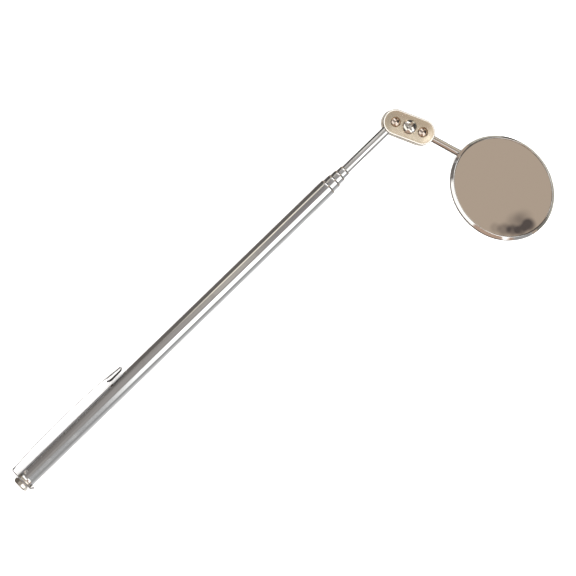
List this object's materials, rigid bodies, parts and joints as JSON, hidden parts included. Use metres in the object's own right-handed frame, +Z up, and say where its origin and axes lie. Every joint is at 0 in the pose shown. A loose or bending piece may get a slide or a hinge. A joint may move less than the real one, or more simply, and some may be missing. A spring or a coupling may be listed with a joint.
{
  "type": "telescoping inspection mirror",
  "caption": "Round inspection mirror on a telescoping pen-style handle, with a double-ball swivel, a pocket clip and a hex end screw.",
  "frame": {"origin": "centre of the bounding box in X and Y, at the level of the table the tool lies on", "axes": "+X along the telescoping handle from the hex end towards the mirror, +Y towards the pocket clip, +Z up from the table"},
  "size_m": [0.2872, 0.0932, 0.0201],
  "materials": {
    "chrome_tube": "bright",
    "chrome_rod": "bright",
    "chrome_cup": "bright",
    "plated_steel": "bright",
    "screw_steel": "bright",
    "ball_steel": "polished",
    "spring_steel": "satin",
    "bush_brass": "plain",
    "silvered_glass": "polished",
    "pad_fibre": "matte"
  },
  "bodies": {
    "handle": {"outer_tube": "chrome_tube", "end_plug": "plated_steel", "pocket_clip": "spring_steel", "end_screw": "plated_steel"},
    "second_bush": {"second_tube_bush": "bush_brass"},
    "second_stage": {"second_tube": "chrome_tube"},
    "third_bush": {"third_tube_bush": "bush_brass"},
    "third_stage": {"third_tube": "chrome_tube"},
    "fourth_bush": {"fourth_tube_bush": "bush_brass"},
    "fourth_stage": {"fourth_tube": "chrome_tube"},
    "rod_bush": {"inner_rod_bush": "bush_brass"},
    "rod_stage": {"inner_rod": "chrome_rod"},
    "rod_ball": {"rod_ball": "ball_steel"},
    "swivel": {"front_plate": "plated_steel", "back_plate": "plated_steel", "tension_screw": "screw_steel"},
    "stem_ball": {"stem_ball": "ball_steel"},
    "mirror_head": {"mirror_stem": "chrome_rod", "mirror_cup": "chrome_cup", "mirror_glass": "silvered_glass", "backing_pad": "pad_fibre", "near_stem_rivet": "screw_steel", "far_stem_rivet": "screw_steel"}
  },
  "joints": [
    {"name": "second_slide", "type": "slide", "parent": "handle", "child": "second_bush", "axis": [1, 0, 0], "range_m": [0, 0.182]},
    {"name": "second_spin", "type": "hinge", "parent": "second_bush", "child": "second_stage", "pos_m": [0.0029, 0.03758, 0.00415], "axis": [1, 0, 0], "continuous": true},
    {"name": "third_slide", "type": "slide", "parent": "second_stage", "child": "third_bush", "axis": [1, 0, 0], "range_m": [0, 0.179]},
    {"name": "third_spin", "type": "hinge", "parent": "third_bush", "child": "third_stage", "pos_m": [0.0029, 0.03758, 0.00415], "axis": [1, 0, 0], "continuous": true},
    {"name": "fourth_slide", "type": "slide", "parent": "third_stage", "child": "fourth_bush", "axis": [1, 0, 0], "range_m": [0, 0.1755]},
    {"name": "fourth_spin", "type": "hinge", "parent": "fourth_bush", "child": "fourth_stage", "pos_m": [0.0029, 0.03758, 0.00415], "axis": [1, 0, 0], "continuous": true},
    {"name": "rod_slide", "type": "slide", "parent": "fourth_stage", "child": "rod_bush", "axis": [1, 0, 0], "range_m": [0, 0.172]},
    {"name": "rod_spin", "type": "hinge", "parent": "rod_bush", "child": "rod_stage", "pos_m": [0.0029, 0.03758, 0.00415], "axis": [1, 0, 0], "continuous": true},
    {"name": "rod_ball_spin", "type": "hinge", "parent": "rod_stage", "child": "rod_ball", "pos_m": [0.1029, 0.03758, 0.00415], "axis": [1, 0, 0], "continuous": true},
    {"name": "swivel_swing", "type": "hinge", "parent": "rod_ball", "child": "swivel", "pos_m": [0.1029, 0.03758, 0.00415], "axis": [0, 0, 1], "range_deg": [-11.1, 138.9]},
    {"name": "stem_ball_swing", "type": "hinge", "parent": "swivel", "child": "stem_ball", "pos_m": [0.10904, 0.02505, 0.00415], "axis": [0, 0, 1], "range_deg": [-67, 83]},
    {"name": "mirror_spin", "type": "hinge", "parent": "stem_ball", "child": "mirror_head", "pos_m": [0.10904, 0.02505, 0.00415], "axis": [0.3107, -0.9505, 0], "continuous": true}
  ]
}
